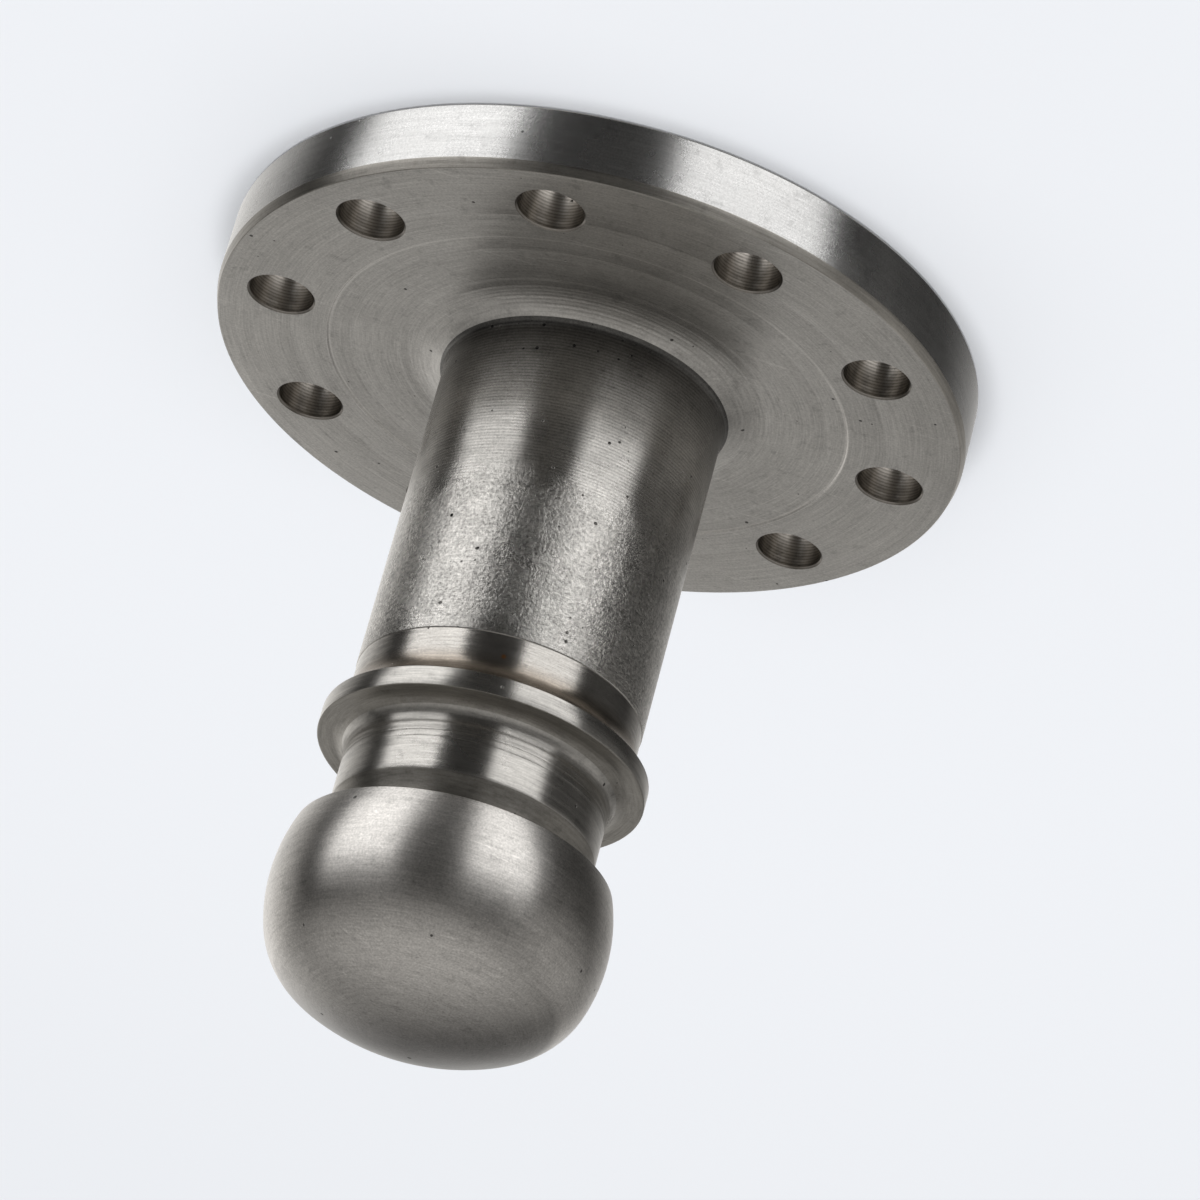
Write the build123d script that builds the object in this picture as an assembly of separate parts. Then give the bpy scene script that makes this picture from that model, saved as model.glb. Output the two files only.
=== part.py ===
"""Flanged stepped shaft with a domed head, turned from one piece of steel.

Frame: millimetres, +Z along the shaft's axis. The origin is the centre of the flange's flat
back face, which the part stands on, and the domed head is at the top. One bolt hole is on +X.

Going up the axis: bolted flange, plain shaft, narrow turned band, collar, neck, undercut,
domed head.
"""
import os
from math import atan2, degrees, sqrt

from build123d import *

# ---- Driving dimensions ------------------------------------------------------------------
# Flange
flange_diameter = 150.0
flange_thickness = 14.5
flange_front_chamfer = 1.6
flange_back_chamfer = 0.6

# Shallow relief, faced into the front of the flange round the shaft
relief_diameter = 104.0
relief_depth = 0.3

# Bolt holes, clearance for M12
bolt_hole_count = 10
bolt_hole_diameter = 13.0
bolt_hole_chamfer = 0.6
bolt_hole_rim_wall = 6.25  # metal left between a hole and the rim

# Shaft, from the flange's front to the collar
shaft_diameter = 56.0
shaft_length = 82.0
shaft_root_fillet = 5.0

# Band at the shaft's end, skimmed smooth below the shaft's own surface
band_depth = 0.15
band_length = 5.4

# Collar
collar_diameter = 63.5
collar_width = 4.0
collar_edge_break = 0.2
collar_shaft_side_fillet = 5.5
collar_neck_side_fillet = 3.4

# Neck, from the collar to the head's shoulder
neck_diameter = 51.2
neck_length = 21.2

# Undercut in the neck, against the head's shoulder
undercut_width = 6.0
undercut_depth = 1.0

# Domed head: a ball-shaped side, widest at the girth, a blend and a flatter crown
head_diameter = 65.0
head_length = 36.3
head_girth_height = 10.8
head_blend_radius = 16.0
head_crown_radius = 46.0

# ---- Worked out from the sizes above -------------------------------------------------------
# Heights along the axis
collar_bottom = flange_thickness + shaft_length
collar_top = collar_bottom + collar_width
shoulder_height = collar_top + neck_length
overall_length = shoulder_height + head_length

# The bolt holes keep their wall of metal to the flange's rim
bolt_circle_diameter = flange_diameter - 2 * bolt_hole_rim_wall - bolt_hole_diameter

# Radii
flange_radius = flange_diameter / 2
shaft_radius = shaft_diameter / 2
band_radius = shaft_radius - band_depth
collar_radius = collar_diameter / 2
neck_radius = neck_diameter / 2
undercut_radius = neck_radius - undercut_depth


def flange_outline():
    """Points of the flange's section, from the axis round the rim to the relief's floor."""
    relief_floor = flange_thickness - relief_depth
    relief_radius = relief_diameter / 2
    return [
        (0, 0),
        (flange_radius - flange_back_chamfer, 0),
        (flange_radius, flange_back_chamfer),
        (flange_radius, flange_thickness - flange_front_chamfer),
        (flange_radius - flange_front_chamfer, flange_thickness),
        (relief_radius + relief_depth, flange_thickness),
        (relief_radius, relief_floor),
        (shaft_radius + shaft_root_fillet, relief_floor),
    ]


def arc_about(centre, radius, start_angle, end_angle):
    """An arc about a centre, drawn from one angle to the other, in degrees."""
    return CenterArc(centre, radius, start_angle, end_angle - start_angle)


def stepped_section():
    """Half section of the whole part in the XZ plane, closed along the axis."""
    relief_floor = flange_thickness - relief_depth
    root_centre = (shaft_radius + shaft_root_fillet, relief_floor + shaft_root_fillet)

    # The fillet under the collar runs from the band and ends at the collar's edge.
    fillet_reach = collar_radius - collar_edge_break - band_radius
    fillet_drop = collar_shaft_side_fillet - fillet_reach
    fillet_height = sqrt(collar_shaft_side_fillet**2 - fillet_drop**2)
    fillet_start = collar_bottom - fillet_height
    fillet_centre = (band_radius + collar_shaft_side_fillet, fillet_start)
    fillet_end_angle = 180 - degrees(atan2(fillet_height, fillet_drop))
    band_start = fillet_start - band_length

    # The neck leaves the collar in a quarter-round and ends in the undercut.
    neck_fillet_centre = (neck_radius + collar_neck_side_fillet, collar_top + collar_neck_side_fillet)
    undercut_start = shoulder_height - undercut_width

    # The head's side and crown are arcs about the axis, and the blend's arc touches both inside.
    side_radius = head_diameter / 2
    shoulder_radius = sqrt(side_radius**2 - head_girth_height**2)
    girth_height = shoulder_height + head_girth_height
    crown_centre_height = overall_length - head_crown_radius
    side_gap = side_radius - head_blend_radius
    crown_gap = head_crown_radius - head_blend_radius
    centre_gap = girth_height - crown_centre_height
    blend_rise = (crown_gap**2 - side_gap**2 - centre_gap**2) / (2 * centre_gap)
    blend_reach = sqrt(side_gap**2 - blend_rise**2)
    side_start = -degrees(atan2(head_girth_height, shoulder_radius))
    side_end = degrees(atan2(blend_rise, blend_reach))
    blend_end = degrees(atan2(centre_gap + blend_rise, blend_reach))

    with BuildSketch(Plane.XZ) as section:
        with BuildLine():
            Polyline(*flange_outline())
            arc_about(root_centre, shaft_root_fillet, 270, 180)
            Polyline(
                (shaft_radius, relief_floor + shaft_root_fillet),
                (shaft_radius, band_start - band_depth),
                (band_radius, band_start),
                (band_radius, fillet_start),
            )
            arc_about(fillet_centre, collar_shaft_side_fillet, 180, fillet_end_angle)
            Polyline(
                (collar_radius - collar_edge_break, collar_bottom),
                (collar_radius, collar_bottom + collar_edge_break),
                (collar_radius, collar_top - collar_edge_break),
                (collar_radius - collar_edge_break, collar_top),
                (neck_radius + collar_neck_side_fillet, collar_top),
            )
            arc_about(neck_fillet_centre, collar_neck_side_fillet, 270, 180)
            Polyline(
                (neck_radius, collar_top + collar_neck_side_fillet),
                (neck_radius, undercut_start - undercut_depth),
                (undercut_radius, undercut_start),
                (undercut_radius, shoulder_height),
                (shoulder_radius, shoulder_height),
            )
            arc_about((0, girth_height), side_radius, side_start, side_end)
            arc_about((blend_reach, girth_height + blend_rise), head_blend_radius, side_end, blend_end)
            arc_about((0, crown_centre_height), head_crown_radius, blend_end, 90)
            Line((0, overall_length), (0, 0))
        make_face()
    return section.sketch


def bolt_hole_cutter():
    """One bolt hole's cutter on the axis: a through hole with a countersunk mouth in the front."""
    hole_radius = bolt_hole_diameter / 2
    wide_radius = hole_radius + 2 * bolt_hole_chamfer
    cutter_top = flange_thickness + bolt_hole_chamfer
    with BuildSketch(Plane.XZ) as outline:
        with BuildLine():
            Polyline(
                (0, -bolt_hole_chamfer),
                (hole_radius, -bolt_hole_chamfer),
                (hole_radius, flange_thickness - bolt_hole_chamfer),
                (wide_radius, cutter_top),
                (0, cutter_top),
                close=True,
            )
        make_face()
    return revolve(outline.sketch, axis=Axis.Z)


def stepped_shaft():
    """The whole part: the revolved section less its ring of bolt holes."""
    body = revolve(stepped_section(), axis=Axis.Z)
    hole_places = PolarLocations(bolt_circle_diameter / 2, bolt_hole_count)
    body -= hole_places * bolt_hole_cutter()
    return body


os.makedirs("parts", exist_ok=True)
export_step(stepped_shaft(), "parts/stepped_shaft.step")
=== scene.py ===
from math import atan2, cos, degrees, pi, radians, sin, sqrt, tan

import bmesh
import bpy
from mathutils import Matrix, Vector


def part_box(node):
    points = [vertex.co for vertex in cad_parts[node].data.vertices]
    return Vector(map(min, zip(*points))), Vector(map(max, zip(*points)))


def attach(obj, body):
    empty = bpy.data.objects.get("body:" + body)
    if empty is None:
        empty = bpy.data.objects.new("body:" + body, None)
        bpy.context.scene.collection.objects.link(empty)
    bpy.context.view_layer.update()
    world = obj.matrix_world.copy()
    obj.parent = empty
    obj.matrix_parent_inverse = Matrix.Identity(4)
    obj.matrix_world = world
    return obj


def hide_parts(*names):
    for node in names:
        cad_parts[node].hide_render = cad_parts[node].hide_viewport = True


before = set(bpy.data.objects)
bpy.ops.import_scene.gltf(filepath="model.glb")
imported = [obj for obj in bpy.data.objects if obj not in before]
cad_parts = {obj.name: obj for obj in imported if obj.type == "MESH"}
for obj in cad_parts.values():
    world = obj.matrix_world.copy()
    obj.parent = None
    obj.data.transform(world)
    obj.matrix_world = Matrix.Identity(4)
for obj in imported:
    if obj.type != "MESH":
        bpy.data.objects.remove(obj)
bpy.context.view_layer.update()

# ---- Camera -------------------------------------------------------------------------------
# A long lens looks down past the domed head at the flange's front. It is rolled most of the way
# round, so the flange comes out at the top of the picture and the head at the bottom left.
camera_place = Vector((0.0646, -1.0087, 0.6055))
camera_forward = Vector((-0.06777, 0.87682, -0.47602)).normalized()
camera_roll = radians(-164.74)

camera_data = bpy.data.cameras.new("camera")
camera_data.sensor_width = 36.0
camera_data.lens = 180.0
camera_data.clip_start = 0.01
camera_data.clip_end = 50.0
camera = bpy.data.objects.new("camera", camera_data)
level = camera_forward.to_track_quat("-Z", "Y").to_matrix().to_4x4()
rolled = level @ Matrix.Rotation(camera_roll, 4, "Z")
camera.matrix_world = Matrix.Translation(camera_place) @ rolled
bpy.context.scene.collection.objects.link(camera)
bpy.context.scene.camera = camera
bpy.context.scene.view_settings.view_transform = "Standard"

# ---- Turned body --------------------------------------------------------------------------
# One piece of steel, turned all over on a lathe: flange, shaft, collar, neck and domed head.
# Half of its section is drawn from the back's centre to the top of the dome, in millimetres as
# radius and height, with the cutter's coarser marks in it, and is spun once round the axis.
node_low, node_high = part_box("stepped_shaft")
spin_steps = 224
flange_radius = round(1000 * node_high.x, 3)
flange_top = 14.5
relief_floor = 14.2
shaft_radius = 28.0
band_radius = 27.85
collar_bottom = 96.5
collar_top = 100.5
collar_radius = 31.75
neck_radius = 25.6
undercut_radius = 23.8
shoulder_height = 121.7
girth_height = 132.5
side_radius = 32.5
overall_length = round(1000 * (node_high.z - node_low.z), 3)


def arc(centre, radius, start, end, steps):
    """Points on an arc about a centre, from one angle to the other in degrees."""
    turns = [radians(start + (end - start) * i / steps) for i in range(steps + 1)]
    return [(centre[0] + radius * cos(a), centre[1] + radius * sin(a)) for a in turns]


def turning_marks(start, end, pitch, depth, unevenness, phase=0.0):
    """Points between two ends of a straight cut, with a shallow groove at each turn's feed.

    The grooves fade out over the cut's last quarter.
    """
    reach, rise = end[0] - start[0], end[1] - start[1]
    length = sqrt(reach**2 + rise**2)
    inward = (-rise / length, reach / length)
    count = 2 * max(1, round(length / pitch))
    points = []
    for i in range(1, count):
        wander = sin(2.1 * i + phase) * sin(0.9 * i + 2.0 * phase)
        t = (i + 0.45 * unevenness * wander) / count
        cut = depth * (i % 2) * (1 - unevenness * (0.5 - 0.5 * wander))
        cut *= min(1.0, 4.0 * (1.0 - t))
        radius = start[0] + reach * t + inward[0] * cut
        points.append((radius, start[1] + rise * t + inward[1] * cut))
    return points


# Flange: flat back, rim, and a steep chamfer at the front with its corners softened
back_edge_break = 0.6
chamfer_start = 12.35
outline = [(0.0, 0.0), (flange_radius - back_edge_break, 0.0), (flange_radius, back_edge_break)]
outline += [(flange_radius, chamfer_start), (74.96, 12.55), (74.75, 13.3), (74.70, 13.42)]
outline += [(74.52, 14.05), (74.42, 14.32), (74.27, 14.45), (74.05, flange_top)]
# The face: one faint ring outside the shallow relief, and three more on the relief's floor
relief_radius = 52.0
outline += [(62.0, flange_top), (59.9, flange_top), (59.7, 14.47), (59.45, flange_top)]
outline += [(relief_radius + 0.3, flange_top), (relief_radius, relief_floor)]
outline += [(48.0, relief_floor), (47.8, 14.18), (47.6, relief_floor)]
outline += [(38.5, relief_floor), (38.2, 14.17), (37.9, relief_floor)]
outline += [(37.2, relief_floor), (36.9, 14.16)]
# Root of the shaft: a wide shallow curve with the tool's rings in it, then a tight fillet
root_radius = 12.0
root_centre = (36.0, relief_floor + root_radius)
tight_radius = 2.2
tight_x = shaft_radius + tight_radius
tight_rise = sqrt((root_radius - tight_radius) ** 2 - (root_centre[0] - tight_x) ** 2)
root_end = degrees(atan2(-tight_rise, tight_x - root_centre[0])) + 360
root_steps = 24
for i in range(root_steps + 1):
    turn = radians(270 + (root_end - 270) * i / root_steps)
    ring_depth = 0.02 + 0.045 * sin(1.7 * i) ** 2 if i % 3 == 1 else 0.0
    reach = root_radius + ring_depth
    outline.append((root_centre[0] + reach * cos(turn), root_centre[1] + reach * sin(turn)))
tight_top = root_centre[1] - tight_rise
outline += arc((tight_x, tight_top), tight_radius, root_end, 180, 7)[1:]
# Shaft: fine feed marks on its first half, then plain to the small step down to the band
shaft_feed = 0.68
marks_end = 52.0
band_start = 85.9
outline += turning_marks(
    (shaft_radius, tight_top), (shaft_radius, marks_end), shaft_feed, 0.07, 0.3
)
outline += [(shaft_radius, marks_end + 0.4), (shaft_radius, band_start - 0.3)]
outline += [(shaft_radius - 0.04, band_start - 0.15), (band_radius, band_start)]
# Band: almost smooth, with a fillet up to the collar
collar_fillet = 5.5
fillet_reach = collar_radius - 0.2 - band_radius
fillet_drop = collar_fillet - fillet_reach
fillet_rise = sqrt(collar_fillet**2 - fillet_drop**2)
fillet_start = collar_bottom - fillet_rise
outline += turning_marks(
    (band_radius, band_start), (band_radius, fillet_start), 0.75, 0.012, 0.8, 1.0
)
fillet_end = 180 - degrees(atan2(fillet_rise, fillet_drop))
outline += arc((band_radius + collar_fillet, fillet_start), collar_fillet, 180, fillet_end, 12)
# Collar, with its edges just broken, and feed marks on the face towards the neck
face_start = 31.45
outline += [(31.62, collar_bottom + 0.04), (31.71, collar_bottom + 0.12)]
outline += [(collar_radius, collar_bottom + 0.25), (collar_radius, collar_top - 0.25)]
outline += [(31.71, collar_top - 0.12), (31.6, collar_top - 0.03), (face_start, collar_top)]
neck_fillet = 3.4
corner_x = neck_radius + neck_fillet
corner_z = collar_top + neck_fillet
outline += turning_marks((face_start, collar_top), (corner_x, collar_top), 0.6, 0.02, 0.6, 2.0)
corner_steps = 16
for i in range(corner_steps + 1):
    turn = radians(270 - 90 * i / corner_steps)
    reach = neck_fillet + (0.03 if i % 3 == 1 else 0.0)
    outline.append((corner_x + reach * cos(turn), corner_z + reach * sin(turn)))
# Neck: uneven grooves, then a smooth run down into the undercut against the head
outline += turning_marks((neck_radius, 104.1), (neck_radius, 113.6), 0.62, 0.07, 1.0, 0.4)
entry_start = 113.8
entry_radius = 3.0
entry_slope = radians(24)
entry_steps = 5
for i in range(entry_steps + 1):
    t = entry_slope * i / entry_steps
    outline.append((neck_radius - entry_radius * (1 - cos(t)), entry_start + entry_radius * sin(t)))
slope_drop = outline[-1][0] - undercut_radius
outline += [(undercut_radius, outline[-1][1] + slope_drop / tan(entry_slope))]
outline += [(undercut_radius - 0.1, shoulder_height - 2.2)]
outline += [(undercut_radius - 0.1, shoulder_height)]
# Head: shoulder, the side as part of a ball, a blend and the flatter crown
shoulder_radius = sqrt(side_radius**2 - (girth_height - shoulder_height) ** 2)
blend_radius = 16.0
crown_radius = 46.0
crown_height = overall_length - crown_radius
side_gap = side_radius - blend_radius
crown_gap = crown_radius - blend_radius
centre_gap = girth_height - crown_height
blend_rise = (crown_gap**2 - side_gap**2 - centre_gap**2) / (2 * centre_gap)
blend_reach = sqrt(side_gap**2 - blend_rise**2)
side_start = -degrees(atan2(girth_height - shoulder_height, shoulder_radius))
side_end = degrees(atan2(blend_rise, blend_reach))
blend_end = degrees(atan2(centre_gap + blend_rise, blend_reach))
outline += [(shoulder_radius - 0.22, shoulder_height)]
outline += [(shoulder_radius - 0.1, shoulder_height + 0.03)]
outline += arc((0.0, girth_height), side_radius, side_start + 0.35, side_end, 26)
blend_centre = (blend_reach, girth_height + blend_rise)
outline += arc(blend_centre, blend_radius, side_end, blend_end, 18)[1:]
outline += arc((0.0, crown_height), crown_radius, blend_end, 90, 24)[1:]


def spun(name, points, steps):
    """A closed mesh in metres, made by spinning an outline in millimetres once round Z."""
    shape = bmesh.new()
    corners = [shape.verts.new((0.001 * r, 0.0, 0.001 * z)) for r, z in points]
    edges = [shape.edges.new(pair) for pair in zip(corners, corners[1:])]
    bmesh.ops.spin(
        shape, geom=corners + edges, cent=(0, 0, 0), axis=(0, 0, 1), dvec=(0, 0, 0),
        angle=2 * pi, steps=steps, use_merge=True, use_normal_flip=False, use_duplicate=False,
    )
    bmesh.ops.remove_doubles(shape, verts=shape.verts, dist=1e-7)
    bmesh.ops.recalc_face_normals(shape, faces=shape.faces)
    mesh = bpy.data.meshes.new(name)
    shape.to_mesh(mesh)
    shape.free()
    return mesh


body = bpy.data.objects.new("turned_body", spun("turned_body", outline, spin_steps))
bpy.context.scene.collection.objects.link(body)

# ---- Bolt holes ---------------------------------------------------------------------------
# Ten clearance holes for M12 bolts, drilled through the flange, with the front edges broken.
# Each turn of the drill left a shallow ring in the wall.
hole_count = 10
hole_radius = 6.5
hole_circle_radius = 62.25
hole_edge_break = 0.35
drill_feed = 1.4
drill_mark = 0.09
drill_turns = 9
drill_steps = 56
first_turn = 0.5
drill_low, drill_high = -2.0, 17.0

mouth_radius = hole_radius + 1.6 * hole_edge_break
drill_outline = [(0.0, drill_low), (hole_radius, drill_low), (hole_radius, first_turn)]
for i in range(drill_turns):
    step = first_turn + i * drill_feed
    drill_outline += [(hole_radius + drill_mark, step + 0.3 * drill_feed)]
    drill_outline += [(hole_radius, step + 0.75 * drill_feed)]
drill_outline += [(hole_radius, flange_top - hole_edge_break)]
drill_outline += [(mouth_radius, flange_top + 0.6 * hole_edge_break)]
drill_outline += [(mouth_radius, drill_high), (0.0, drill_high)]

drill_shape = bmesh.new()
drill_shape.from_mesh(spun("drill_cuts", drill_outline, drill_steps))
bmesh.ops.translate(drill_shape, vec=(0.001 * hole_circle_radius, 0, 0), verts=drill_shape.verts)
first_cut = drill_shape.verts[:] + drill_shape.edges[:] + drill_shape.faces[:]
for i in range(1, hole_count):
    copied = bmesh.ops.duplicate(drill_shape, geom=first_cut)["geom"]
    copied = [item for item in copied if isinstance(item, bmesh.types.BMVert)]
    indexed = Matrix.Rotation(2 * pi * i / hole_count, 3, "Z")
    bmesh.ops.rotate(drill_shape, matrix=indexed, verts=copied)
drill_mesh = bpy.data.meshes.new("drill_cuts")
drill_shape.to_mesh(drill_mesh)
drill_shape.free()
drill_cuts = bpy.data.objects.new("drill_cuts", drill_mesh)
bpy.context.scene.collection.objects.link(drill_cuts)

drilling = body.modifiers.new("drilling", "BOOLEAN")
drilling.operation = "DIFFERENCE"
drilling.solver = "EXACT"
drilling.object = drill_cuts
depsgraph = bpy.context.evaluated_depsgraph_get()
drilled = bpy.data.meshes.new_from_object(body.evaluated_get(depsgraph))
body.modifiers.remove(drilling)
body.data = drilled
bpy.data.objects.remove(drill_cuts)
drilled.shade_smooth()
drilled.set_sharp_from_angle(angle=radians(28))

# ---- Steel finish -------------------------------------------------------------------------
# Bare steel as it came off the lathe. Fine circular marks follow the turning everywhere, so
# highlights spread across the marks and stay narrow along them. Small dark pits are scattered
# all over it. Each stretch of the part has its own mix of these.


class SteelFinish:
    """The nodes of one finish, with short calls that add to them. Lengths are in millimetres."""

    def __init__(self, name):
        self.material = bpy.data.materials.new(name)
        self.material.use_nodes = True
        self.tree = self.material.node_tree
        place = self.add("ShaderNodeTexCoord")
        self.where = self.scaled(place.outputs["Object"], 1000.0)
        parts = self.add("ShaderNodeSeparateXYZ")
        self.put(self.where, parts.inputs[0])
        self.height = parts.outputs["Z"]
        off_axis = self.add("ShaderNodeCombineXYZ")
        self.put(parts.outputs["X"], off_axis.inputs["X"])
        self.put(parts.outputs["Y"], off_axis.inputs["Y"])
        self.off_axis = off_axis.outputs[0]
        length = self.add("ShaderNodeVectorMath", operation="LENGTH")
        self.put(self.off_axis, length.inputs[0])
        self.radius = length.outputs["Value"]
        outward = self.add("ShaderNodeVectorMath", operation="NORMALIZE")
        self.put(self.off_axis, outward.inputs[0])
        outward_parts = self.add("ShaderNodeSeparateXYZ")
        self.put(outward.outputs["Vector"], outward_parts.inputs[0])
        self.outward_x = outward_parts.outputs["X"]
        self.outward_y = outward_parts.outputs["Y"]
        # the distance along the section; the crown's radius shrinks as its height grows
        lean = "SUBTRACT" if name == "head_steel" else "ADD"
        self.along = self.maths(lean, self.height, self.radius)

    def add(self, kind, **settings):
        made = self.tree.nodes.new(kind)
        for key, value in settings.items():
            setattr(made, key, value)
        return made

    def put(self, value, socket):
        """Join another node's output to a socket, or set a plain value on it."""
        if isinstance(value, bpy.types.NodeSocket):
            self.tree.links.new(value, socket)
        else:
            socket.default_value = value

    def maths(self, operation, *values):
        made = self.add("ShaderNodeMath", operation=operation)
        for socket, value in zip(made.inputs, values):
            self.put(value, socket)
        return made.outputs[0]

    def vary(self, start, pattern, amount):
        """Raise and lower a value with a pattern that runs from 0 to 1."""
        return self.maths("MULTIPLY_ADD", self.maths("SUBTRACT", pattern, 0.5), amount, start)

    def scaled(self, vector, amount):
        made = self.add("ShaderNodeVectorMath", operation="SCALE")
        self.put(vector, made.inputs[0])
        self.put(amount, made.inputs["Scale"])
        return made.outputs["Vector"]

    def mixed(self, share, first, second):
        made = self.add("ShaderNodeMix", data_type="VECTOR")
        self.put(share, made.inputs["Factor"])
        self.put(first, made.inputs["A"])
        self.put(second, made.inputs["B"])
        return made.outputs["Result"]

    def distance(self, place, centre):
        made = self.add("ShaderNodeVectorMath", operation="DISTANCE")
        self.put(place, made.inputs[0])
        self.put(centre, made.inputs[1])
        return made.outputs["Value"]

    def ramp(self, value, low, high, start=0.0, end=1.0):
        """A smooth change from start to end, while the value goes from low to high."""
        made = self.add("ShaderNodeMapRange", interpolation_type="SMOOTHSTEP")
        self.put(value, made.inputs["Value"])
        self.put(low, made.inputs["From Min"])
        self.put(high, made.inputs["From Max"])
        self.put(start, made.inputs["To Min"])
        self.put(end, made.inputs["To Max"])
        return made.outputs["Result"]

    def noise(self, place, scale, detail, roughness):
        made = self.add("ShaderNodeTexNoise")
        self.put(place, made.inputs["Vector"])
        self.put(scale, made.inputs["Scale"])
        self.put(detail, made.inputs["Detail"])
        self.put(roughness, made.inputs["Roughness"])
        return made.outputs["Fac"]

    def rings(self, per_millimetre, around_count):
        """Coordinates that change fast along the section and slowly round the axis."""
        made = self.add("ShaderNodeCombineXYZ")
        self.put(self.maths("MULTIPLY", self.outward_x, around_count), made.inputs["X"])
        self.put(self.maths("MULTIPLY", self.outward_y, around_count), made.inputs["Y"])
        self.put(self.maths("MULTIPLY", self.along, per_millimetre), made.inputs["Z"])
        return made.outputs[0]

    def scratches(self, rotation, stretch, roughness):
        """Noise that is drawn out into long thin lines."""
        lines = self.add("ShaderNodeMapping")
        self.put(self.where, lines.inputs["Vector"])
        self.put(rotation, lines.inputs["Rotation"])
        self.put(stretch, lines.inputs["Scale"])
        return self.noise(lines.outputs[0], 1.0, 3.0, roughness)

    def pits(self, share):
        """Small pits, 0.12 to 0.4 mm in radius, in a share of the cells."""
        cell_scale = 0.45
        cell = self.add("ShaderNodeTexVoronoi", feature="F1")
        self.put(self.where, cell.inputs["Vector"])
        self.put(cell_scale, cell.inputs["Scale"])
        self.put(1.0, cell.inputs["Randomness"])
        drawn = self.add("ShaderNodeSeparateXYZ")
        self.put(cell.outputs["Color"], drawn.inputs[0])
        chosen = self.maths("GREATER_THAN", drawn.outputs["X"], 1.0 - share)
        size = self.maths("MULTIPLY_ADD", drawn.outputs["Y"], 0.28, 0.12)
        size = self.maths("MULTIPLY", chosen, size)
        edge = self.maths("MULTIPLY", size, cell_scale)
        edge = self.maths("SUBTRACT", edge, cell.outputs["Distance"])
        return self.maths("MULTIPLY", self.ramp(edge, -0.025, 0.03), chosen)


def steel(
    name, colour, roughness, spread, marks, mark_depth, mark_shade, band_shade,
    grain, grain_depth, grain_shade, pits, wear_and_painted_light=None, tarnish_and_painted_shadow=None,
):
    """A steel finish.

    spread is how far highlights run across the turning marks, and marks is how many of them
    there are to a millimetre. grain is the size of the crystals, and the two depths are in
    millimetres too. The shades say how much the marks, the broader bands and the grain lighten
    and darken the colour. pits is the share of places that have a pit. The first hook changes
    the shade and the bumps, partly with painted shade and painted highlights, and the second
    changes the colour, partly with a painted shadow.
    """
    finish = SteelFinish(name)
    finish.fine_marks = finish.noise(finish.rings(marks, 5.0), 1.0, 3.0, 0.75)
    finish.broad_marks = finish.noise(finish.rings(0.22 * marks, 1.2), 1.0, 2.0, 0.5)
    finish.mottle = finish.noise(finish.where, 0.055, 3.0, 0.6)
    crystals = finish.noise(finish.where, 1.0 / grain, 4.0, 0.62)
    scratches = finish.scratches((0.5, 0.3, 0.9), (0.05, 1.1, 1.1), 0.6)
    pitted = finish.pits(pits)
    stains = finish.ramp(finish.noise(finish.where, 0.33, 3.0, 0.6), 0.57, 0.72)

    shade = finish.vary(1.0, finish.fine_marks, mark_shade)
    shade = finish.vary(shade, finish.broad_marks, band_shade)
    shade = finish.vary(shade, finish.mottle, 0.3)
    shade = finish.vary(shade, crystals, grain_shade)
    shade = finish.maths("MULTIPLY_ADD", finish.ramp(scratches, 0.62, 0.72), 0.16, shade)
    shade = finish.maths("MULTIPLY_ADD", stains, -0.16, shade)
    in_pits = finish.maths("MULTIPLY_ADD", pitted, -0.72, 1.0)
    finish.shade = finish.maths("MULTIPLY", shade, in_pits)
    bumps = finish.vary(0.0, finish.fine_marks, mark_depth)
    bumps = finish.vary(bumps, crystals, grain_depth)
    finish.bumps = finish.maths("MULTIPLY_ADD", pitted, -0.06, bumps)
    rough = finish.vary(roughness, finish.mottle, 0.14)
    rough = finish.maths("MULTIPLY_ADD", pitted, 0.25, rough)
    if wear_and_painted_light:
        wear_and_painted_light(finish)
    finish.colour = finish.scaled(colour, finish.shade)
    if tarnish_and_painted_shadow:
        tarnish_and_painted_shadow(finish)

    around_axis = finish.add("ShaderNodeTangent", direction_type="RADIAL", axis="Z")
    relief = finish.add("ShaderNodeBump")
    finish.put(1.0, relief.inputs["Strength"])
    finish.put(0.001, relief.inputs["Distance"])
    finish.put(finish.bumps, relief.inputs["Height"])
    shader = finish.tree.nodes["Principled BSDF"]
    finish.put(finish.colour, shader.inputs["Base Color"])
    finish.put(1.0, shader.inputs["Metallic"])
    finish.put(rough, shader.inputs["Roughness"])
    finish.put(spread, shader.inputs["Anisotropic"])
    finish.put(0.25, shader.inputs["Anisotropic Rotation"])
    finish.put(around_axis.outputs["Tangent"], shader.inputs["Tangent"])
    finish.put(relief.outputs["Normal"], shader.inputs["Normal"])
    return finish.material


def drill_ring_shading(finish):
    """In a bolt hole, painted shade and painted highlight lines run round the wall, two to each
    turn of the drill.
    """
    lip_feed = drill_feed / 2
    wander = finish.maths("MULTIPLY", finish.fine_marks, 2.0)
    turn = finish.maths("MULTIPLY_ADD", finish.height, 2 * pi / lip_feed, wander)
    finish.shade = finish.maths("MULTIPLY_ADD", finish.maths("SINE", turn), 0.26, finish.shade)


def chamfer_side_highlight(finish):
    """One side of the flange's chamfer is painted lighter: a painted highlight."""
    one_side = finish.ramp(finish.outward_x, -0.75, -0.35, 1.0, 0.0)
    on_flange = finish.ramp(finish.height, flange_top + 0.5, flange_top + 1.5, 1.0, 0.0)
    highlit = finish.maths("MULTIPLY", one_side, on_flange)
    brighter = finish.maths("MULTIPLY_ADD", highlit, 0.75, 1.0)
    finish.shade = finish.maths("MULTIPLY", finish.shade, brighter)


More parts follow.
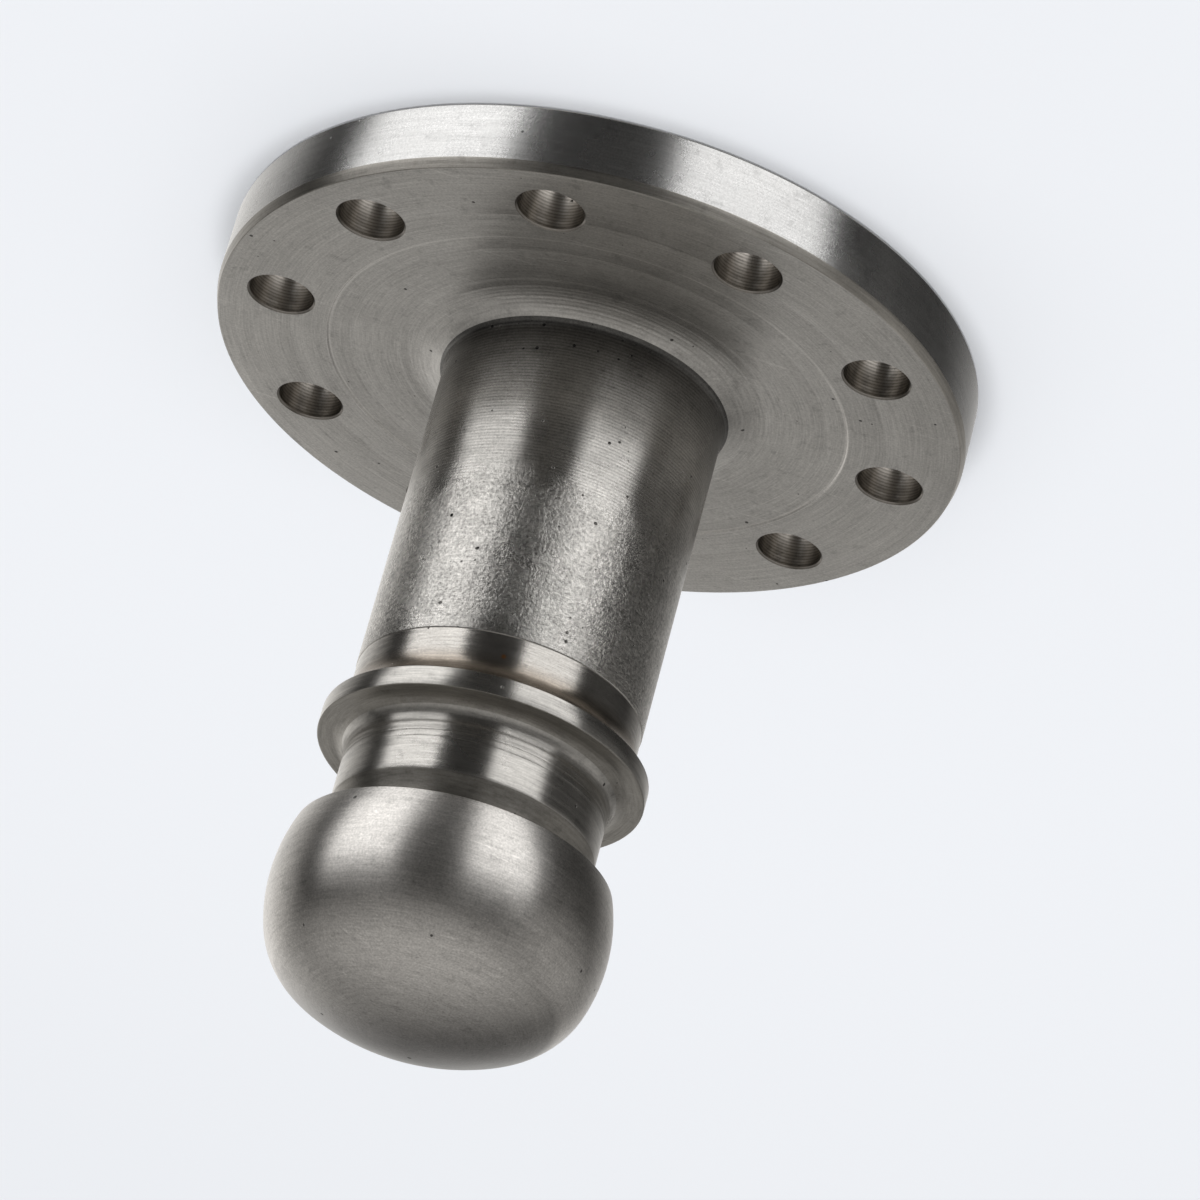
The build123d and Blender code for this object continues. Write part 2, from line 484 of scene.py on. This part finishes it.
def relief_edge_highlight(finish):
    """A thin line at the edge of the flange's relief is painted lighter: a painted highlight."""
    outside = finish.ramp(finish.radius, relief_radius - 0.6, relief_radius - 0.2)
    inside = finish.ramp(finish.radius, relief_radius + 0.2, relief_radius + 0.6, 1.0, 0.0)
    edge = finish.maths("MULTIPLY", outside, inside)
    finish.shade = finish.maths("MULTIPLY_ADD", edge, 0.3, finish.shade)


def rough_skin(finish):
    """The shaft's half towards the head keeps its rough skin, and its root next to the flange is
    darkened with painted shade.
    """
    # the skin starts at a wavy limit and thins out a little before the band
    skin_start = finish.vary(finish.height, finish.mottle, 26.0)
    skin_end = finish.vary(finish.height, finish.broad_marks, 8.0)
    skin = finish.ramp(skin_start, 43.0, 56.0)
    skin = finish.maths("MULTIPLY", skin, finish.ramp(skin_end, 80.0, 86.0, 1.0, 0.65))
    coarse = finish.noise(finish.where, 1.5, 4.0, 0.66)
    swell = finish.noise(finish.where, 0.2, 2.0, 0.5)
    lumps = finish.vary(0.0, coarse, 0.125)
    lumps = finish.vary(lumps, swell, 0.16)
    finish.bumps = finish.maths("MULTIPLY_ADD", lumps, skin, finish.bumps)
    speckle = finish.vary(0.0, coarse, 2.2)
    shade = finish.maths("MULTIPLY_ADD", speckle, skin, finish.shade)
    shade = finish.vary(shade, swell, 0.5)
    # on the other half, painted shade and painted highlight lines run along each turn's feed
    wander = finish.maths("MULTIPLY", finish.fine_marks, 2.5)
    turn = finish.maths("MULTIPLY_ADD", finish.height, 2 * pi / shaft_feed, wander)
    lines = finish.maths("MULTIPLY", finish.maths("SINE", turn), 0.16)
    shade = finish.maths("MULTIPLY_ADD", lines, finish.maths("SUBTRACT", 1.0, skin), shade)
    # painted shade: the shaft gets darker towards the flange
    root = finish.ramp(finish.height, 15.0, 38.0, 0.23, 1.0)
    finish.shade = finish.maths("MULTIPLY", shade, root)


def heat_tint(finish):
    """The band is tinted brown by heat next to the collar, and has one small spot of rust."""
    brown = finish.scaled((0.27, 0.22, 0.17), finish.shade)
    tinted = finish.maths("MULTIPLY", finish.ramp(finish.height, 89.0, 93.5), 0.75)
    finish.colour = finish.mixed(tinted, finish.colour, brown)
    from_rust = finish.distance(finish.where, (3.25, -27.7, 90.3))
    rusty = finish.ramp(from_rust, 0.25, 0.6, 1.0, 0.0)
    finish.colour = finish.mixed(rusty, finish.colour, (0.62, 0.27, 0.08))


def crown_shadow_and_scratches(finish):
    """The crown is darkened towards one side by a painted shadow, with fine scratches across the
    marks.
    """
    from_middle = finish.distance(finish.off_axis, (-8.0, 20.0, 0.0))
    # painted shadow: darkest a little off the axis, fading out towards the side
    dark = finish.ramp(from_middle, 18.0, 46.0, 0.24, 1.0)
    below_crown = finish.ramp(finish.height, 148.0, 152.0, 1.0, 0.0)
    shade = finish.maths("MAXIMUM", dark, below_crown)
    scratches = finish.scratches((-0.4, 0.8, -0.5), (0.07, 1.5, 1.5), 0.65)
    scratches = finish.ramp(scratches, 0.58, 0.70)
    shade = finish.maths("MULTIPLY", shade, finish.maths("MULTIPLY_ADD", scratches, 0.16, 0.98))
    finish.colour = finish.scaled(finish.colour, shade)


finishes = [
    steel(
        "flange_steel", colour=(0.49, 0.475, 0.45), roughness=0.34, spread=0.7,
        marks=3.2, mark_depth=0.014, mark_shade=0.80, band_shade=0.18,
        grain=0.45, grain_depth=0.014, grain_shade=0.80, pits=0.08, wear_and_painted_light=relief_edge_highlight,
    ),
    steel(
        "rim_steel", colour=(0.50, 0.496, 0.488), roughness=0.27, spread=0.8,
        marks=2.8, mark_depth=0.006, mark_shade=0.45, band_shade=0.20,
        grain=0.35, grain_depth=0.010, grain_shade=0.80, pits=0.04,
    ),
    steel(
        "shaft_steel", colour=(0.49, 0.475, 0.45), roughness=0.28, spread=0.7,
        marks=3.4, mark_depth=0.012, mark_shade=0.80, band_shade=0.20,
        grain=0.33, grain_depth=0.012, grain_shade=1.20, pits=0.33, wear_and_painted_light=rough_skin,
    ),
    steel(
        "band_steel", colour=(0.43, 0.412, 0.385), roughness=0.25, spread=0.8,
        marks=2.6, mark_depth=0.010, mark_shade=1.00, band_shade=0.40,
        grain=0.4, grain_depth=0.006, grain_shade=0.60, pits=0.08, tarnish_and_painted_shadow=heat_tint,
    ),
    steel(
        "collar_steel", colour=(0.44, 0.425, 0.40), roughness=0.28, spread=0.8,
        marks=2.8, mark_depth=0.010, mark_shade=1.10, band_shade=0.60,
        grain=0.4, grain_depth=0.007, grain_shade=0.50, pits=0.03,
    ),
    steel(
        "head_steel", colour=(0.54, 0.52, 0.495), roughness=0.32, spread=0.5,
        marks=2.6, mark_depth=0.009, mark_shade=0.70, band_shade=0.25,
        grain=0.4, grain_depth=0.012, grain_shade=1.10, pits=0.03, tarnish_and_painted_shadow=crown_shadow_and_scratches,
    ),
    steel(
        "bore_steel", colour=(0.31, 0.288, 0.26), roughness=0.31, spread=0.0,
        marks=2.0, mark_depth=0.006, mark_shade=0.50, band_shade=0.20,
        grain=0.4, grain_depth=0.006, grain_shade=0.50, pits=0.05, wear_and_painted_light=drill_ring_shading,
    ),
    # a darker steel for the flange's chamfer, the corner by the neck and the undercut: its darkness
    # is painted shade
    steel(
        "painted_shade_steel", colour=(0.30, 0.285, 0.26), roughness=0.34, spread=0.7,
        marks=3.0, mark_depth=0.012, mark_shade=1.10, band_shade=0.40,
        grain=0.4, grain_depth=0.008, grain_shade=0.50, pits=0.05, wear_and_painted_light=chamfer_side_highlight,
    ),
]
body.data.materials.clear()
for finish in finishes:
    body.data.materials.append(finish)

# each face takes the first finish whose stretch it lies in, going up the section
flange_face, rim, shaft, band, collar_and_neck, head, bore, painted_shade = range(len(finishes))
hole_turn = 2 * pi / hole_count
for face in body.data.polygons:
    height = 1000 * face.center.z
    radius = 1000 * Vector(face.center[:2]).length
    turn = (atan2(face.center.y, face.center.x) + hole_turn / 2) % hole_turn - hole_turn / 2
    off_hole = Vector((radius * cos(turn) - hole_circle_radius, radius * sin(turn))).length
    in_hole = off_hole < 7.3 and 0.05 < height < flange_top - 0.05
    on_chamfer = radius > 74.0 and 12.4 < height < 14.4
    on_rim = radius > 74.0 and height < 12.5
    on_flange = height < 16.6
    on_shaft = height < band_start - 0.1
    on_band = height < collar_bottom + 0.02
    in_neck_corner = 26.6 < radius < 31.66 and 100.4 < height < 103.3
    in_undercut = radius < 25.5 and 114.6 < height < shoulder_height
    below_head = radius < 31.8 and height < 121.8 and (radius < 26.0 or height < 121.0)
    if in_hole:
        face.material_index = bore
    # the chamfer takes the darker steel with painted shade
    elif on_chamfer:
        face.material_index = painted_shade
    elif on_rim:
        face.material_index = rim
    elif on_flange:
        face.material_index = flange_face
    elif on_shaft:
        face.material_index = shaft
    elif on_band:
        face.material_index = band
    # the corner by the neck and the undercut take the darker steel with painted shade
    elif in_neck_corner or in_undercut:
        face.material_index = painted_shade
    elif below_head:
        face.material_index = collar_and_neck
    else:
        face.material_index = head

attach(body, "root")
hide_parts("stepped_shaft")

# ---- Floor --------------------------------------------------------------------------------
# A plain pale floor that keeps the part's shadow. It doesn't block the low soft boxes. Away
# from the part it fades into the backdrop, which has nearly the same colour.
floor_reach = 6.0
fade_start, fade_end = 0.35, 0.85
floor_shape = bmesh.new()
bmesh.ops.create_grid(floor_shape, x_segments=1, y_segments=1, size=floor_reach)
floor_mesh = bpy.data.meshes.new("floor")
floor_shape.to_mesh(floor_mesh)
floor_shape.free()
floor = bpy.data.objects.new("floor", floor_mesh)
bpy.context.scene.collection.objects.link(floor)
floor_paint = bpy.data.materials.new("floor_paint")
floor_paint.use_nodes = True
floor_shader = floor_paint.node_tree.nodes["Principled BSDF"]
floor_shader.inputs["Base Color"].default_value = (0.86, 0.885, 0.93, 1)
floor_shader.inputs["Roughness"].default_value = 1.0
floor_shader.inputs["Specular IOR Level"].default_value = 0.0
floor_nodes = floor_paint.node_tree.nodes
floor_links = floor_paint.node_tree.links
floor_place = floor_nodes.new("ShaderNodeTexCoord")
floor_distance = floor_nodes.new("ShaderNodeVectorMath")
floor_distance.operation = "LENGTH"
floor_links.new(floor_place.outputs["Object"], floor_distance.inputs[0])
floor_fade = floor_nodes.new("ShaderNodeMapRange")
floor_fade.interpolation_type = "SMOOTHSTEP"
floor_fade.inputs["From Min"].default_value = fade_start
floor_fade.inputs["From Max"].default_value = fade_end
floor_links.new(floor_distance.outputs["Value"], floor_fade.inputs["Value"])
floor_clear = floor_nodes.new("ShaderNodeBsdfTransparent")
floor_mix = floor_nodes.new("ShaderNodeMixShader")
floor_links.new(floor_fade.outputs["Result"], floor_mix.inputs["Fac"])
floor_links.new(floor_shader.outputs["BSDF"], floor_mix.inputs[1])
floor_links.new(floor_clear.outputs["BSDF"], floor_mix.inputs[2])
floor_output = floor_nodes["Material Output"]
floor_links.new(floor_mix.outputs["Shader"], floor_output.inputs["Surface"])
floor_mesh.materials.append(floor_paint)
floor.visible_glossy = False
floor.visible_shadow = False

# ---- Studio lights ------------------------------------------------------------------------
# Two low upright soft boxes on the camera's side make the part's two bright stripes. The room is
# pale behind the part, mid grey overhead and dark on the camera's side.
world = bpy.data.worlds.new("studio")
world.use_nodes = True
bpy.context.scene.world = world
room = world.node_tree


def room_ramp(value, low, high, start, end):
    """An even change of brightness across one part of the room."""
    made = room.nodes.new("ShaderNodeMapRange")
    made.inputs["From Min"].default_value = low
    made.inputs["From Max"].default_value = high
    made.inputs["To Min"].default_value = start
    made.inputs["To Max"].default_value = end
    room.links.new(value, made.inputs["Value"])
    return made.outputs["Result"]


def room_maths(operation, first, second):
    """One sum on the room's brightness."""
    made = room.nodes.new("ShaderNodeMath")
    made.operation = operation
    for socket, value in zip(made.inputs, (first, second)):
        if isinstance(value, (int, float)):
            socket.default_value = value
        else:
            room.links.new(value, socket)
    return made.outputs[0]


direction = room.nodes.new("ShaderNodeTexCoord")
split = room.nodes.new("ShaderNodeSeparateXYZ")
room.links.new(direction.outputs["Generated"], split.inputs[0])
overhead = room_ramp(split.outputs["Z"], 0.14, 1.0, 0.04, 0.62)
behind = room_ramp(split.outputs["Y"], 0.3, 0.9, 0.0, 1.2)
behind = room_maths("MULTIPLY", behind, room_ramp(split.outputs["X"], -0.6, 0.15, 0.45, 1.0))
behind = room_maths("MULTIPLY", behind, room_ramp(split.outputs["Z"], -0.1, 0.4, 1.0, 0.47))
side = room_ramp(split.outputs["X"], -0.95, -0.5, 0.45, 0.0)
side = room_maths("MULTIPLY", side, room_ramp(split.outputs["Z"], -0.35, 0.0, 0.0, 1.0))
brightness = room_maths("MAXIMUM", room_maths("MAXIMUM", overhead, behind), side)
seen = room.nodes.new("ShaderNodeLightPath")
room_light = room.nodes["Background"]
room_light.inputs["Color"].default_value = (1.0, 0.985, 0.96, 1)
room.links.new(brightness, room_light.inputs["Strength"])
backdrop = room.nodes.new("ShaderNodeBackground")
backdrop.inputs["Color"].default_value = (0.863, 0.888, 0.93, 1)
backdrop.inputs["Strength"].default_value = 1.0
choose = room.nodes.new("ShaderNodeMixShader")
room.links.new(seen.outputs["Is Camera Ray"], choose.inputs[0])
room.links.new(room_light.outputs[0], choose.inputs[1])
room.links.new(backdrop.outputs[0], choose.inputs[2])
room.links.new(choose.outputs[0], room.nodes["World Output"].inputs["Surface"])


def soft_box(name, start, end, low, high, distance, brightness):
    """An upright soft box that spans two azimuths and two elevations, in degrees."""
    width = 2 * distance * sin(radians(abs(end - start) / 2))
    bottom = distance * tan(radians(low))
    top = distance * tan(radians(high))
    lamp = bpy.data.lights.new(name, "AREA")
    lamp.shape = "RECTANGLE"
    lamp.size = width
    lamp.size_y = top - bottom
    lamp.energy = brightness * pi * width * (top - bottom)
    box = bpy.data.objects.new(name, lamp)
    middle = radians((start + end) / 2)
    outward = Vector((cos(middle), sin(middle), 0))
    box.location = outward * distance + Vector((0, 0, (top + bottom) / 2))
    box.rotation_euler = outward.to_track_quat("Z", "Y").to_euler()
    box.visible_camera = False
    bpy.context.scene.collection.objects.link(box)


soft_box("soft_box_left", -143.0, -92.0, -72, -4, 1.0, 1.72)
soft_box("soft_box_right", -50.0, 3.0, -72, -1, 1.0, 1.85)

# a wide lamp overhead lights the floor, and isn't mirrored in the steel
top_lamp = bpy.data.lights.new("top_light", "AREA")
top_lamp.shape = "SQUARE"
top_lamp.size = 1.6
top_lamp.energy = 24.0
top_light = bpy.data.objects.new("top_light", top_lamp)
top_light.location = (0.0, 0.0, 1.8)
top_light.visible_glossy = False
top_light.visible_camera = False
bpy.context.scene.collection.objects.link(top_light)
